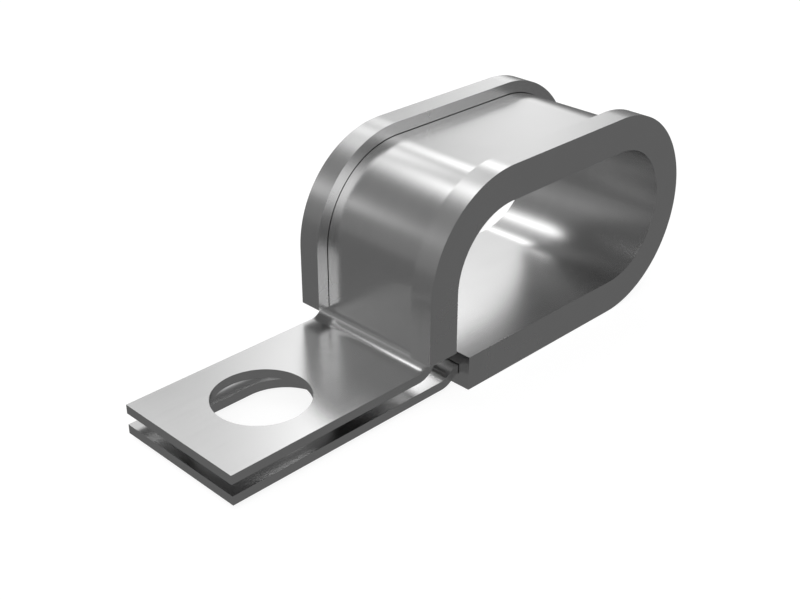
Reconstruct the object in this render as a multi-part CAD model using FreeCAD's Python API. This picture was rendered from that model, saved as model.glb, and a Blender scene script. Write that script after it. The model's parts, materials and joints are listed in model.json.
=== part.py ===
import FreeCAD, Part
import math
import os

# Cushioned p clip: one folded metal band, and one channel liner wrapped over the band's loop.
# Millimetres. The origin is on the axis of the bolt hole, at the upper tab's top face.
# X runs from the tabs towards the loop, Y across the band and Z up, with Y = 0 at mid-width.

# Band
BAND_WIDTH = 16.0
BAND_THICKNESS = 1.0

# Tabs
TAB_END_TO_HOLE = 10.0      # free end of both tabs to the bolt axis
HOLE_TO_LEG = 15.0          # bolt axis to the outer face of the upright leg
TAB_GAP = 1.25              # open space between the two tabs
BOLT_HOLE_DIAMETER = 10.0   # round hole in the upper tab
SLOT_WIDTH = 10.0           # slot in the lower tab, across the band
SLOT_LENGTH = 15.0          # slot in the lower tab, end to end along X

# Bends
LEG_BEND_RADIUS = 1.45     # inside radius from the upper tab into the leg
JOGGLE_STEP = 0.95          # how far the lower tab steps down from the loop
JOGGLE_LENGTH = 2.5         # length along X that the step takes

# Loop, measured at the liner's inside face
LOOP_INSIDE_RADIUS = 7.75
LOOP_CENTRE_DISTANCE = 17.6

# Liner
LINER_WALL = 1.35
LINER_CLEARANCE = 0.07      # between band and liner, all round
LINER_LIP = 2.65            # width of each lip on the outside of the band, side wall included
LINER_END_FROM_LEG = 4.35   # outer face of the leg to the liner's lower end face

# A cutting tool runs this far past the faces that it opens
CUT_MARGIN = 1.0

# What follows from the sizes above
HALF_THICKNESS = BAND_THICKNESS / 2
CHANNEL_HALF_DEPTH = HALF_THICKNESS + LINER_CLEARANCE
LINER_HALF_DEPTH = CHANNEL_HALF_DEPTH + LINER_WALL
CHANNEL_WIDTH = BAND_WIDTH + 2 * LINER_CLEARANCE
LINER_WIDTH = CHANNEL_WIDTH + 2 * LINER_WALL
WINDOW_WIDTH = LINER_WIDTH - 2 * LINER_LIP

LOOP_RADIUS = LOOP_INSIDE_RADIUS + LINER_HALF_DEPTH      # of the band's mid-line
LEG_MID_X = HOLE_TO_LEG + HALF_THICKNESS
LOOP_RIGHT_X = LEG_MID_X + LOOP_RADIUS + LOOP_CENTRE_DISTANCE
LINER_END_X = HOLE_TO_LEG + LINER_END_FROM_LEG

UPPER_TAB_MID_Z = -HALF_THICKNESS
LOWER_TAB_MID_Z = UPPER_TAB_MID_Z - BAND_THICKNESS - TAB_GAP
LOOP_CENTRE_Z = LOWER_TAB_MID_Z + JOGGLE_STEP + LOOP_RADIUS

# The step is two equal arcs, one up and one back, that meet at its middle
JOGGLE_ANGLE = 2 * math.degrees(math.atan2(JOGGLE_STEP, JOGGLE_LENGTH))
JOGGLE_RADIUS = JOGGLE_LENGTH / (2 * math.sin(math.radians(JOGGLE_ANGLE)))


class StripPath:
    """Mid-line of a folded strip in the XZ plane: straight runs joined by round bends."""

    def __init__(self, x, z, heading):
        self.x = x
        self.z = z
        self.heading = heading
        self.pieces = []

    def run(self, length):
        """Go straight ahead."""
        angle = math.radians(self.heading)
        start = (self.x, self.z)
        self.x += length * math.cos(angle)
        self.z += length * math.sin(angle)
        self.pieces.append(("run", start, (self.x, self.z), self.heading))
        return self

    def bend(self, radius, turn):
        """Turn on an arc of the mid-line's radius, to the left for a positive angle."""
        side = math.copysign(1.0, turn)
        to_centre = math.radians(self.heading + 90 * side)
        centre = (self.x + radius * math.cos(to_centre), self.z + radius * math.sin(to_centre))
        first = math.degrees(to_centre) + 180
        last = math.radians(first + turn)
        self.pieces.append(("bend", centre, radius, side, first, turn))
        self.x = centre[0] + radius * math.cos(last)
        self.z = centre[1] + radius * math.sin(last)
        self.heading += turn
        return self

    def side(self, offset, y):
        """Edges that follow the path at a distance to its left, at one height across the band."""
        edges = []
        for piece in self.pieces:
            if piece[0] == "run":
                edges.append(self._offset_run(piece, offset, y))
            else:
                edges.append(self._offset_bend(piece, offset, y))
        return edges

    @staticmethod
    def _offset_run(piece, offset, y):
        _, start, end, heading = piece
        left = math.radians(heading + 90)
        dx = offset * math.cos(left)
        dz = offset * math.sin(left)
        return Part.LineSegment(
            FreeCAD.Vector(start[0] + dx, y, start[1] + dz),
            FreeCAD.Vector(end[0] + dx, y, end[1] + dz),
        ).toShape()

    @staticmethod
    def _offset_bend(piece, offset, y):
        _, centre, radius, side, first, turn = piece
        reach = radius - side * offset
        points = []
        for share in (0.0, 0.5, 1.0):
            angle = math.radians(first + share * turn)
            points.append(
                FreeCAD.Vector(centre[0] + reach * math.cos(angle), y, centre[1] + reach * math.sin(angle))
            )
        return Part.Arc(*points).toShape()


def ribbon(path, low, high, width):
    """Solid strip along the path, between two offsets from it, centred across the band."""
    y = -width / 2
    one_side = path.side(low, y)
    other_side = path.side(high, y)
    start_cap = Part.LineSegment(
        one_side[0].firstVertex(True).Point, other_side[0].firstVertex(True).Point
    ).toShape()
    end_cap = Part.LineSegment(
        one_side[-1].lastVertex(True).Point, other_side[-1].lastVertex(True).Point
    ).toShape()
    outline = Part.Wire(Part.__sortEdges__(one_side + [end_cap] + other_side + [start_cap]))
    return Part.Face(outline).extrude(FreeCAD.Vector(0, width, 0))


def follow_loop(path, leg_length, bottom_length):
    """Up the leg, over the rounded corner, along the top, round the end and back underneath."""
    path.run(leg_length)
    path.bend(LOOP_RADIUS, -90)
    path.run(LOOP_CENTRE_DISTANCE)
    path.bend(LOOP_RADIUS, -180)
    path.run(bottom_length)
    return path


def band_path():
    """The whole band, from the upper tab's free end to the lower tab's."""
    path = StripPath(-TAB_END_TO_HOLE, UPPER_TAB_MID_Z, 0)
    path.run(TAB_END_TO_HOLE + HOLE_TO_LEG - LEG_BEND_RADIUS)
    path.bend(LEG_BEND_RADIUS + HALF_THICKNESS, 90)
    follow_loop(path, LOOP_CENTRE_Z - path.z, LOOP_RIGHT_X - LINER_END_X)
    path.bend(JOGGLE_RADIUS, JOGGLE_ANGLE)
    path.bend(JOGGLE_RADIUS, -JOGGLE_ANGLE)
    path.run(path.x + TAB_END_TO_HOLE)
    return path


def liner_path(past_ends=0.0):
    """The stretch of the loop that the liner covers, from the leg's bend to the joggle."""
    path = StripPath(LEG_MID_X, LEG_BEND_RADIUS - past_ends, 90)
    return follow_loop(path, LOOP_CENTRE_Z - path.z, LOOP_RIGHT_X - LINER_END_X + past_ends)


def slot_cutter(length, width, low_z, high_z):
    """Round-ended slot on the bolt axis, long along X. Equal length and width give a round hole."""
    radius = width / 2
    half_straight = length / 2 - radius
    height = high_z - low_z
    ends = [
        Part.makeCylinder(radius, height, FreeCAD.Vector(x, 0, low_z))
        for x in (-half_straight, half_straight)
    ]
    if half_straight <= 0:
        return ends[0]
    middle = Part.makeBox(
        2 * half_straight, width, height, FreeCAD.Vector(-half_straight, -radius, low_z)
    )
    return middle.fuse(ends).removeSplitter()


def make_band():
    """Band with the bolt hole in its upper tab and the slot in its lower tab."""
    strip = ribbon(band_path(), -HALF_THICKNESS, HALF_THICKNESS, BAND_WIDTH)
    between_tabs = (UPPER_TAB_MID_Z + LOWER_TAB_MID_Z) / 2
    above = UPPER_TAB_MID_Z + HALF_THICKNESS + CUT_MARGIN
    below = LOWER_TAB_MID_Z - HALF_THICKNESS - CUT_MARGIN
    hole = slot_cutter(BOLT_HOLE_DIAMETER, BOLT_HOLE_DIAMETER, between_tabs, above)
    slot = slot_cutter(SLOT_LENGTH, SLOT_WIDTH, below, between_tabs)
    return strip.cut([hole, slot])


def make_liner():
    """Channel whose web lines the loop and whose lips fold over the band's outer face."""
    covered = liner_path()
    cut_along = liner_path(past_ends=CUT_MARGIN)
    block = ribbon(covered, -LINER_HALF_DEPTH, LINER_HALF_DEPTH, LINER_WIDTH)
    channel = ribbon(cut_along, -CHANNEL_HALF_DEPTH, CHANNEL_HALF_DEPTH, CHANNEL_WIDTH)
    window = ribbon(cut_along, 0, LINER_HALF_DEPTH + CUT_MARGIN, WINDOW_WIDTH)
    return block.cut([channel, window])


def write_node(name, shape):
    """Check that a piece is one sound solid and write it."""
    solids = shape.Solids
    if len(solids) != 1 or not solids[0].isValid():
        raise RuntimeError(name + " is not one valid solid")
    solids[0].exportStep(os.path.join("parts", name + ".step"))
    print(name, "volume", round(solids[0].Volume, 2), "mm3")


def main():
    os.makedirs("parts", exist_ok=True)
    write_node("band", make_band())
    write_node("liner", make_liner())


main()
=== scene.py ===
import json
import math

import bmesh
import bpy
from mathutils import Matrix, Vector


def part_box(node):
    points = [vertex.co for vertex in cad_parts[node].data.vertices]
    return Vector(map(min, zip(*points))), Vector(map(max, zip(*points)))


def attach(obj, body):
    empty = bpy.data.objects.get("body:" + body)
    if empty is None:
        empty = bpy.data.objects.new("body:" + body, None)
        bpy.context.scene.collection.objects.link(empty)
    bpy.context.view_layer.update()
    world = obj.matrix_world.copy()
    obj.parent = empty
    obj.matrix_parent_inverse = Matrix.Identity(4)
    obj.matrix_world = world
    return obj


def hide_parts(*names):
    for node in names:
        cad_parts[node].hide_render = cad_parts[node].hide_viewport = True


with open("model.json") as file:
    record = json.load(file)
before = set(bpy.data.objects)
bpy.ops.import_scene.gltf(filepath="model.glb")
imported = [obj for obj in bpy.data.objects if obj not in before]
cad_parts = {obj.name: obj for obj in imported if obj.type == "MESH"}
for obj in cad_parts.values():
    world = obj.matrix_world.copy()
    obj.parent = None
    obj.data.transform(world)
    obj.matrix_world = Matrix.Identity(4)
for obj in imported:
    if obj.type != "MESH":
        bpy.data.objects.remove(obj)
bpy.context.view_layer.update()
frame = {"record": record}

bl_info = {
    "name": "Cushioned p clip",
    "version": (1, 0, 0),
    "blender": (4, 5, 0),
    "location": "3D View > Sidebar > P clip",
    "description": "Models a folded band clip with its channel liner, satin steel and a small studio",
    "category": "Object",
}

# The frame, in metres: the solids' box, the two nodes and the places that bolt and pipe need
BAND_LOW, BAND_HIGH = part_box("band")
LINER_LOW, LINER_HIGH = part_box("liner")
MOUNTS = {mount["name"]: mount for mount in frame["record"]["mounts"]}
BOLT_HOLE, SLOT, LOOP = (MOUNTS[name] for name in ("bolt_hole", "lower_slot", "loop"))
MM = 0.001
BODY = "root"

# The loop's mid-line: two arcs of this radius about these centres, joined by straight runs
LOOP_INSIDE = LOOP["dims"]["r_mm"] * MM
LOOP_RIGHT_X, _, LOOP_Z = LOOP["pos_m"]
LOOP_OUTSIDE = LINER_HIGH.x - LOOP_RIGHT_X
LOOP_RADIUS = (LOOP_INSIDE + LOOP_OUTSIDE) / 2
LOOP_LEFT_X = LINER_LOW.x + LOOP_OUTSIDE
TAB_TOP_Z = BOLT_HOLE["pos_m"][2]

QUARTER = math.pi / 2

# How finely the round shapes are cut into flats, and the widest turn that is shaded smooth
BEND_STEP = math.radians(1.5)
FEWEST_BEND_STEPS = 4
HOLE_SIDES = 192
SLOT_END_STEPS = 48
SMOOTH_ANGLE = math.radians(30)

# A short share at each end of a straight run, so that shading at the bends leaves the rest flat
FLAT_END = 0.02


# Sizes and colours


def length(name, default, description):
    """A property that holds a length."""
    return bpy.props.FloatProperty(
        name=name, description=description, default=default, min=0.0, subtype="DISTANCE", unit="LENGTH"
    )


def share(name, default, description):
    """A property that holds a share from 0 to 1."""
    return bpy.props.FloatProperty(
        name=name, description=description, default=default, min=0.0, max=1.0, subtype="FACTOR"
    )


def angle(name, default, description):
    """A property that holds an angle, its default given in degrees."""
    return bpy.props.FloatProperty(
        name=name, description=description, default=math.radians(default), subtype="ANGLE", unit="ROTATION"
    )


def grey(name, default, description):
    """A property that holds a colour, its default a grey."""
    return bpy.props.FloatVectorProperty(
        name=name, description=description, default=(default,) * 3, size=3, min=0.0, max=1.0, subtype="COLOR"
    )


class BandSizes(bpy.types.PropertyGroup):
    """Sizes of the folded band."""

    thickness: length("Thickness", BOLT_HOLE["dims"]["length_mm"] * MM, "Thickness of the strip")
    width: length("Width", BAND_HIGH.y - BAND_LOW.y, "Width of the strip")
    hole_radius: length(
        "Hole radius", BOLT_HOLE["dims"]["r_mm"] * MM, "Radius of the bolt hole in the upper tab"
    )
    slot_radius: length(
        "Slot end radius", SLOT["dims"]["hole_r_mm"] * MM, "Half the width of the lower tab's slot"
    )
    slot_length: length(
        "Slot length", SLOT["dims"]["slot_length_mm"] * MM, "Length of the slot, end to end"
    )
    leg_bend: length("Leg bend", 1.45 * MM, "Inside radius of the bend from the upper tab into the leg")
    joggle: length("Joggle length", 2.5 * MM, "Length of the step that lifts the lower run into the loop")


class LinerSizes(bpy.types.PropertyGroup):
    """Sizes of the channel that wraps the loop."""

    wall: length("Wall", 1.35 * MM, "Thickness of the channel's wall")
    lip: length("Lip width", 2.65 * MM, "Width of each lip over the band, side wall included")
    end_x: length("Lower end", 19.35 * MM, "Distance from the bolt's axis to the channel's lower end")


class MetalFinish(bpy.types.PropertyGroup):
    """Look of the satin steel."""

    colour: grey("Colour", 0.66, "Colour of the bare metal")
    band_roughness: share("Band roughness", 0.22, "Blur of the reflections in the band")
    liner_roughness: share("Liner roughness", 0.25, "Blur of the reflections in the liner")
    grain: length("Grain width", 0.5 * MM, "Width of a line of the rolled grain")
    relief: length("Grain relief", 0.0005 * MM, "Height of the rolled grain")
    variation: share("Variation", 0.04, "How much the grain and the marks change colour and roughness")


class Studio(bpy.types.PropertyGroup):
    """Camera, floor and light."""

    azimuth: angle("Camera azimuth", 45.0, "Turn of the camera about the object")
    elevation: angle("Camera elevation", 28.5, "Height of the camera above the floor plane")
    distance: length("Camera distance", 131.8 * MM, "Distance from the camera to its aim")
    lens: bpy.props.FloatProperty(
        name="Lens", description="Focal length", default=57.0, min=1.0, subtype="DISTANCE_CAMERA"
    )
    ground: bpy.props.FloatProperty(
        name="Ground level", description="Brightness of the floor in the metal", default=0.16, min=0.0
    )
    sky: bpy.props.FloatProperty(
        name="Room level", description="Brightness of the room between its softboxes", default=0.235, min=0.0
    )


# The point that the camera looks at, and the depth that it can see
CAMERA_AIM = Vector((18.8, -0.07, 3.37)) * MM
CAMERA_NEAR = 5 * MM
CAMERA_FAR = 10.0

# The white card under the clip: its own grey and the glow that makes it white to the camera
FLOOR_RADIUS = 1.5
FLOOR_SIDES = 96
FLOOR_GAP = 0.02 * MM
CARD_GREY = 0.25
CARD_GLOW = 0.87
WHITE = (1.0, 1.0, 1.0, 1.0)

# Softboxes round the object: azimuth, elevation and turn in degrees, half width and half
# height as sines, and strength
SOFTBOXES = {
    "key behind the camera": (-130, 35, 160, 0.65, 0.35, 1.3),
    "box for the far lip": (-50, 27, 10, 0.28, 0.13, 1.4),
    "tall box opposite the camera": (42, 41, 25, 0.125, 0.42, 1.1),
    "bar opposite the camera": (39, 36, 0, 0.16, 0.07, 2.0),
    "low box opposite the camera": (39.5, 13, 10, 0.09, 0.25, 1.05),
    "spot for the flat top": (62.5, 39.5, 0, 0.1, 0.11, 1.2),
    "wide box for the corner": (99, 60, 30, 0.62, 0.165, 0.65),
    "bar for the corner": (101, 60, 25, 0.28, 0.07, 2.05),
    "box for the leg": (117, 23, 0, 0.25, 0.115, 1.1),
    "overhead box": (0, 90, 0, 0.45, 0.45, 0.65),
    "box for the near side": (-95, 24, 0, 0.45, 0.25, 0.1),
    "box for the far side": (85, 18, 0, 0.3, 0.12, 0.75),
    "box for the tab end": (180, 24, 0, 0.4, 0.25, 0.75),
    "box for the loop end": (0, 30, 0, 0.35, 0.25, 0.55),
}


# Shader maths


class Value:
    """A shader socket. Arithmetic on it adds Math nodes; add() makes any other node."""

    def __init__(self, tree, node=None, output=0):
        self.tree = tree
        self.node = node
        self.output = output

    def out(self, output):
        """Another output of the same node."""
        return Value(self.tree, self.node, output)

    def add(self, kind, settings=None, **inputs):
        """Add a node of a kind, with its settings, and its sockets' values or links.

        A socket is named by its label with _ for each space, or by _ and its number.
        """
        node = self.tree.nodes.new(kind)
        for name, setting in (settings or {}).items():
            setattr(node, name, setting)
        for name, value in inputs.items():
            key = int(name[1:]) if name[1:].isdigit() else name.replace("_", " ")
            socket = node.inputs[key]
            if isinstance(value, Value):
                self.tree.links.new(value.node.outputs[value.output], socket)
            else:
                socket.default_value = value
        return Value(self.tree, node)

    def _math(self, operation, *values):
        """A Math node on these values."""
        sockets = {f"_{number}": value for number, value in enumerate(values)}
        return self.add("ShaderNodeMath", {"operation": operation}, **sockets)

    def __add__(self, other):
        return self._math("ADD", self, other)

    __radd__ = __add__

    def __sub__(self, other):
        return self._math("SUBTRACT", self, other)

    def __rsub__(self, other):
        return self._math("SUBTRACT", other, self)

    def __mul__(self, other):
        return self._math("MULTIPLY", self, other)

    __rmul__ = __mul__

    def __neg__(self):
        return self._math("MULTIPLY", self, -1.0)

    def __gt__(self, other):
        return self._math("GREATER_THAN", self, other)

    def __abs__(self):
        return self._math("ABSOLUTE", self)

    def exp(self):
        """e to this value."""
        return self._math("EXPONENT", self)

    def dot(self, vector):
        """Share of a vector socket that lies along a fixed vector."""
        product = self.add("ShaderNodeVectorMath", {"operation": "DOT_PRODUCT"}, _0=self, _1=vector)
        return product.out("Value")

    def stretch(self, vector):
        """A vector socket, multiplied axis by axis."""
        return self.add("ShaderNodeVectorMath", {"operation": "MULTIPLY"}, _0=self, _1=vector)


def new_tree(holder):
    """An empty node tree on a material or world, as a Value to add nodes with."""
    holder.use_nodes = True
    holder.node_tree.nodes.clear()
    return Value(holder.node_tree)


# The grain is this many times as long as it is wide, and marks are counted per metre; the
# shares say how much of the wear each makes
GRAIN_STRETCH = 60
MARKS_PER_METRE = 160.0
GRAIN_SHARE = 0.6
MARKS_SHARE = 0.8

# Faces that look this much sideways are cut edges, and they are this much rougher
CUT_EDGE_FACING = 0.9
CUT_EDGE_DULLNESS = 0.02


def satin_steel(name, finish, roughness):
    """Rolled strip: fine lines along the strip, faint cloudy handling marks, duller cut edges."""
    material = bpy.data.materials.new(name)
    start = new_tree(material)
    place = start.add("ShaderNodeTexCoord").out("Object")
    across = 1 / finish.grain
    along = across / GRAIN_STRETCH
    stretched = place.stretch((along, across, along))
    lines = start.add("ShaderNodeTexNoise", None, Vector=stretched, Scale=1.0, Detail=2.0, Roughness=0.6)
    marks = start.add(
        "ShaderNodeTexNoise", None, Vector=place, Scale=MARKS_PER_METRE, Detail=3.0, Roughness=0.55
    )
    normal = start.add("ShaderNodeNewGeometry").out("Normal")
    cut_edge = abs(normal.dot((0.0, 1.0, 0.0))) > CUT_EDGE_FACING
    wear = (lines - 0.5) * GRAIN_SHARE + (marks - 0.5) * MARKS_SHARE
    light = [min(1.0, c * (1 + finish.variation)) for c in finish.colour]
    dark = [c * (1 - finish.variation) for c in finish.colour]
    colour = start.add(
        "ShaderNodeMix", {"data_type": "RGBA"}, _0=wear + 0.5, _6=(*dark, 1.0), _7=(*light, 1.0)
    ).out(2)
    blur = wear * finish.variation + cut_edge * CUT_EDGE_DULLNESS + roughness
    bump = start.add("ShaderNodeBump", None, Strength=1.0, Distance=finish.relief, Height=lines)
    surface = start.add(
        "ShaderNodeBsdfPrincipled", None, Base_Color=colour, Metallic=1.0, Roughness=blur, Normal=bump
    )
    start.add("ShaderNodeOutputMaterial", None, Surface=surface)
    return material


# Modelling helpers


def deselect_all():
    """Leave nothing selected, whatever the last step left."""
    for other in bpy.context.selected_objects:
        other.select_set(False)


def only(piece):
    """Make a piece the only selected and active object."""
    deselect_all()
    piece.select_set(True)
    bpy.context.view_layer.objects.active = piece


def start_plane(centre, size_x, size_y, rotation=(0.0, 0.0, 0.0)):
    """A rectangle, its own X and Y sides of these sizes, ready in edit mode and all selected."""
    deselect_all()
    bpy.ops.mesh.primitive_plane_add(size=1.0, location=centre, rotation=rotation)
    piece = bpy.context.active_object
    piece.scale = (size_x, size_y, 1.0)
    bpy.ops.object.transform_apply(location=True, rotation=True, scale=True)
    bpy.ops.object.mode_set(mode="EDIT")
    bpy.ops.mesh.select_all(action="SELECT")
    return piece


def close_shell():
    """Turn all faces outwards and leave edit mode."""
    bpy.ops.mesh.select_all(action="SELECT")
    bpy.ops.mesh.normals_make_consistent(inside=False)
    bpy.ops.object.mode_set(mode="OBJECT")


def select_faces(piece, wanted):
    """Select the faces that a test wants, and nothing else."""
    bpy.ops.mesh.select_mode(type="FACE")
    bpy.ops.mesh.select_all(action="DESELECT")
    mesh = bmesh.from_edit_mesh(piece.data)
    for face in mesh.faces:
        face.select_set(wanted(face))
    bmesh.update_edit_mesh(piece.data)


class StripPath:
    """Carries a selected cross-section along straight runs and round bends, in the XZ plane."""

    def __init__(self, x, z, heading):
        self.place = Vector((x, 0.0, z))
        self.heading = heading

    def run(self, distance):
        """Extrude straight ahead; the short stretches at both ends keep the long one flat."""
        ahead = Vector((math.cos(self.heading), 0.0, math.sin(self.heading)))
        for part in (FLAT_END, 1 - 2 * FLAT_END, FLAT_END):
            bpy.ops.mesh.extrude_region_move(TRANSFORM_OT_translate={"value": ahead * distance * part})
        self.place += ahead * distance

    def bend(self, radius, turn):
        """Spin round a bend of this mid-line radius: upwards or leftwards where turn is positive."""
        to_left = Vector((-math.sin(self.heading), 0.0, math.cos(self.heading)))
        arm = to_left * math.copysign(radius, turn)
        centre = self.place + arm
        steps = max(FEWEST_BEND_STEPS, round(abs(turn) / BEND_STEP))
        bpy.ops.mesh.spin(steps=steps, angle=turn, center=centre, axis=(0.0, 1.0, 0.0), use_auto_merge=False)
        cos, sin = math.cos(turn), math.sin(turn)
        self.place = centre - Vector((arm.x * cos - arm.z * sin, 0.0, arm.x * sin + arm.z * cos))
        self.heading += turn

    def loop(self, lower_end_x):
        """Follow the loop from the leg, over the top and back underneath."""
        self.run(LOOP_Z - self.place.z)
        self.bend(LOOP_RADIUS, -QUARTER)
        self.run(LOOP_RIGHT_X - self.place.x)
        self.bend(LOOP_RADIUS, -2 * QUARTER)
        self.run(self.place.x - lower_end_x)


def cut(piece, cutter):
    """Cut a piece with a tool, which is then thrown away."""
    only(piece)
    modifier = piece.modifiers.new("cut", "BOOLEAN")
    modifier.operation = "DIFFERENCE"
    modifier.solver = "EXACT"
    modifier.object = cutter
    bpy.ops.object.modifier_apply(modifier=modifier.name)
    bpy.data.objects.remove(cutter)


def dress(piece, name, node, material):
    """Shade a piece, give it its metal, and put it in place of its solid."""
    only(piece)
    piece.name = piece.data.name = name
    bpy.ops.object.shade_smooth_by_angle(angle=SMOOTH_ANGLE)
    piece.data.materials.append(material)
    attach(piece, BODY)
    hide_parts(node)


# Pieces


class PCLIP_OT_band(bpy.types.Operator):
    """Model the folded band with its bolt hole and its slot"""

    bl_idname = "pclip.band"
    bl_label = "Make the band"

    def execute(self, context):
        sizes = context.scene.pclip_band
        half = sizes.thickness / 2
        upper_z = TAB_TOP_Z - half
        lower_z = BAND_LOW.z + half
        leg_face_x = LOOP_LEFT_X - LOOP_RADIUS - half

        band = start_plane((BAND_LOW.x, 0.0, upper_z), sizes.thickness, sizes.width, (0.0, QUARTER, 0.0))
        path = StripPath(BAND_LOW.x, upper_z, 0.0)
        path.run(leg_face_x - sizes.leg_bend - BAND_LOW.x)
        path.bend(sizes.leg_bend + half, QUARTER)
        path.loop(context.scene.pclip_liner.end_x)
        step = path.place.z - lower_z
        turn = 2 * math.atan2(step, sizes.joggle)
        for side in (turn, -turn):
            path.bend(sizes.joggle / (2 * math.sin(turn)), side)
        path.run(path.place.x - BAND_LOW.x)
        close_shell()
        self.cut_hole(band, sizes, (upper_z + lower_z) / 2)
        self.cut_slot(band, sizes, lower_z, (upper_z + lower_z) / 2)
        finish = context.scene.pclip_metal
        steel = satin_steel("band steel", finish, finish.band_roughness)
        dress(band, "folded_band", "band", steel)
        return {"FINISHED"}

    def cut_hole(self, band, sizes, gap_z):
        """Drill the upper tab, down to the middle of the gap under it."""
        above = TAB_TOP_Z + sizes.thickness
        deselect_all()
        bpy.ops.mesh.primitive_cylinder_add(
            vertices=HOLE_SIDES,
            radius=sizes.hole_radius,
            depth=above - gap_z,
            location=(0.0, 0.0, (above + gap_z) / 2),
        )
        cut(band, bpy.context.active_object)

    def cut_slot(self, band, sizes, lower_z, gap_z):
        """Punch the lower tab, up to the middle of the gap over it.

        The corners are rounded just short of meeting, so that no two points share a place.
        """
        below = lower_z - 2 * sizes.thickness
        rounding = 0.9999 * sizes.slot_radius
        slot = start_plane((0.0, 0.0, below), sizes.slot_length, 2 * sizes.slot_radius)
        bpy.ops.mesh.select_mode(type="VERT")
        bpy.ops.mesh.bevel(offset=rounding, segments=SLOT_END_STEPS, affect="VERTICES")
        bpy.ops.mesh.select_all(action="SELECT")
        bpy.ops.mesh.extrude_region_move(TRANSFORM_OT_translate={"value": (0.0, 0.0, gap_z - below)})
        close_shell()
        cut(band, slot)


class PCLIP_OT_liner(bpy.types.Operator):
    """Model the channel that wraps the band's loop and folds over its edges"""

    bl_idname = "pclip.liner"
    bl_label = "Make the liner"

    def execute(self, context):
        sizes = context.scene.pclip_liner
        depth = LOOP_OUTSIDE - LOOP_INSIDE
        width = LINER_HIGH.y - LINER_LOW.y
        mid_x = LINER_LOW.x + depth / 2
        start_z = TAB_TOP_Z + context.scene.pclip_band.leg_bend

        liner = start_plane((mid_x, 0.0, start_z), depth, width)
        bpy.ops.mesh.inset(thickness=sizes.wall, depth=0.0)
        bpy.ops.mesh.delete(type="FACE")
        window = width / 2 - sizes.lip
        for y in (-window, window):
            bpy.ops.mesh.select_all(action="SELECT")
            bpy.ops.mesh.bisect(plane_co=(mid_x, y, start_z), plane_no=(0.0, 1.0, 0.0))

        def over_band(face):
            middle = face.calc_center_median()
            return abs(middle.y) < window and middle.x < mid_x

        select_faces(liner, over_band)
        bpy.ops.mesh.delete(type="FACE")
        bpy.ops.mesh.select_all(action="SELECT")
        StripPath(mid_x, start_z, QUARTER).loop(sizes.end_x)
        close_shell()
        finish = context.scene.pclip_metal
        steel = satin_steel("liner steel", finish, finish.liner_roughness)
        dress(liner, "channel_liner", "liner", steel)
        return {"FINISHED"}


# Studio


def direction(azimuth, elevation):
    """Unit vector towards an azimuth, counted from X, and an elevation."""
    return Vector((
        math.cos(elevation) * math.cos(azimuth),
        math.cos(elevation) * math.sin(azimuth),
        math.sin(elevation),
    ))


def softbox(towards, azimuth, elevation, turn, half_width, half_height, strength):
    """Brightness that one softbox, flat in the middle and soft at its edge, adds in a direction."""
    azimuth, elevation, turn = (math.radians(a) for a in (azimuth, elevation, turn))
    middle = direction(azimuth, elevation)
    level = Vector((-math.sin(azimuth), math.cos(azimuth), 0.0))
    upright = middle.cross(level)
    across = (level * math.cos(turn) + upright * math.sin(turn)) / half_width
    upwards = (upright * math.cos(turn) - level * math.sin(turn)) / half_height
    u, v = towards.dot(across), towards.dot(upwards)
    spread = u * u + v * v
    return (-(spread * spread)).exp() * (towards.dot(middle) > 0.0) * strength


def make_world(studio):
    """A dim grey room with softboxes; the camera sees it white."""
    world = bpy.data.worlds.new("studio")
    start = new_tree(world)
    towards = start.add("ShaderNodeTexCoord").out("Generated")
    rays = start.add("ShaderNodeLightPath")
    light = studio.sky
    for box in SOFTBOXES.values():
        light = light + softbox(towards, *box)
    seen = rays.out("Is Camera Ray")
    strength = light * (1 - seen) + seen
    back = start.add("ShaderNodeBackground", None, Color=WHITE, Strength=strength)
    start.add("ShaderNodeOutputWorld", None, Surface=back)
    return world


def floor_material(studio):
    """White card that keeps the object's soft shadow, and that the metal mirrors as a dim ground."""
    material = bpy.data.materials.new("white card")
    start = new_tree(material)
    rays = start.add("ShaderNodeLightPath")
    seen = rays.out("Is Camera Ray")
    mirrored = rays.out("Is Glossy Ray") + rays.out("Is Transmission Ray")
    card = start.add("ShaderNodeBsdfDiffuse", None, Color=(CARD_GREY, CARD_GREY, CARD_GREY, 1.0))
    brightness = seen * CARD_GLOW + mirrored * studio.ground
    glow = start.add("ShaderNodeEmission", None, Color=WHITE, Strength=brightness)
    lit = start.add("ShaderNodeAddShader", None, _0=card, _1=glow)
    surface = start.add("ShaderNodeMixShader", None, _0=seen, _1=glow, _2=lit)
    start.add("ShaderNodeOutputMaterial", None, Surface=surface)
    return material


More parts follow.
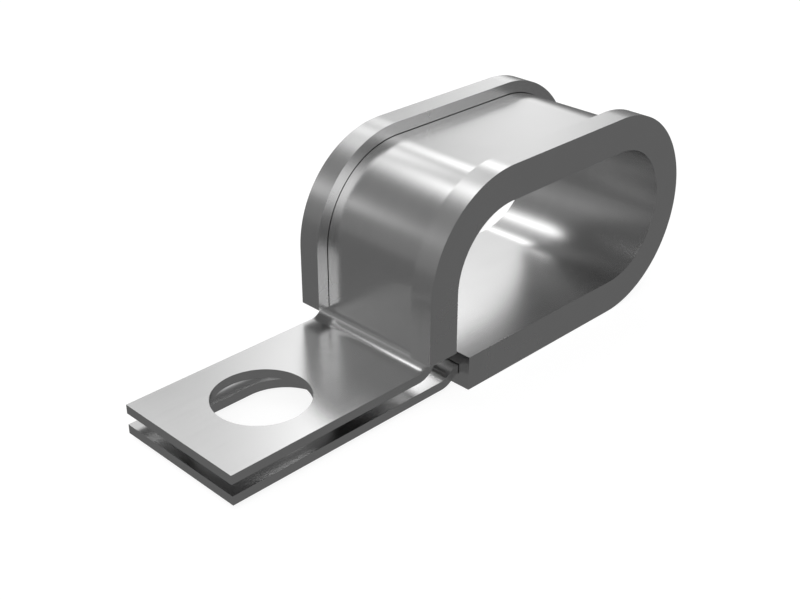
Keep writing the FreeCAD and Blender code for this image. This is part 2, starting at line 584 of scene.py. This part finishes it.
class PCLIP_OT_stage(bpy.types.Operator):
    """Set up the floor, the light and the camera"""

    bl_idname = "pclip.stage"
    bl_label = "Make the stage"

    def execute(self, context):
        studio = context.scene.pclip_studio
        context.scene.view_settings.view_transform = "Standard"
        context.scene.world = make_world(studio)

        deselect_all()
        bpy.ops.mesh.primitive_circle_add(
            vertices=FLOOR_SIDES,
            radius=FLOOR_RADIUS,
            fill_type="NGON",
            location=(0.0, 0.0, LINER_LOW.z - FLOOR_GAP),
        )
        floor = context.active_object
        floor.name = "floor"
        bpy.ops.object.transform_apply(location=True, rotation=True, scale=True)
        floor.data.materials.append(floor_material(studio))

        back = direction(studio.azimuth - math.pi, studio.elevation)
        bpy.ops.object.camera_add(location=CAMERA_AIM + back * studio.distance)
        camera = context.active_object
        camera.rotation_euler = (-back).to_track_quat("-Z", "Y").to_euler()
        camera.data.lens = studio.lens
        camera.data.clip_start = CAMERA_NEAR
        camera.data.clip_end = CAMERA_FAR
        context.scene.camera = camera
        return {"FINISHED"}


# Panel


class PCLIP_PT_sidebar(bpy.types.Panel):
    """The clip's sizes, finish and buttons"""

    bl_idname = "PCLIP_PT_sidebar"
    bl_label = "P clip"
    bl_space_type = "VIEW_3D"
    bl_region_type = "UI"
    bl_category = "P clip"

    def draw(self, context):
        for attribute, kind, operators in GROUPS:
            box = self.layout.box()
            for name in kind.__annotations__:
                box.prop(getattr(context.scene, attribute), name)
            for operator in operators:
                box.operator(operator.bl_idname)


GROUPS = (
    ("pclip_band", BandSizes, (PCLIP_OT_band,)),
    ("pclip_liner", LinerSizes, (PCLIP_OT_liner,)),
    ("pclip_metal", MetalFinish, ()),
    ("pclip_studio", Studio, (PCLIP_OT_stage,)),
)
CLASSES = [kind for _, kind, _ in GROUPS] + [PCLIP_OT_band, PCLIP_OT_liner, PCLIP_OT_stage, PCLIP_PT_sidebar]


def register():
    """Add the classes, and the sizes and colours as properties of the scene."""
    for kind in CLASSES:
        bpy.utils.register_class(kind)
    for attribute, kind, _ in GROUPS:
        setattr(bpy.types.Scene, attribute, bpy.props.PointerProperty(type=kind))


def unregister():
    """Take away what register() added."""
    for attribute, _, _ in GROUPS:
        delattr(bpy.types.Scene, attribute)
    for kind in reversed(CLASSES):
        bpy.utils.unregister_class(kind)


def main():
    """Make the clip and its stage."""
    register()
    bpy.ops.pclip.band()
    bpy.ops.pclip.liner()
    bpy.ops.pclip.stage()


if __name__ == "__main__":
    main()
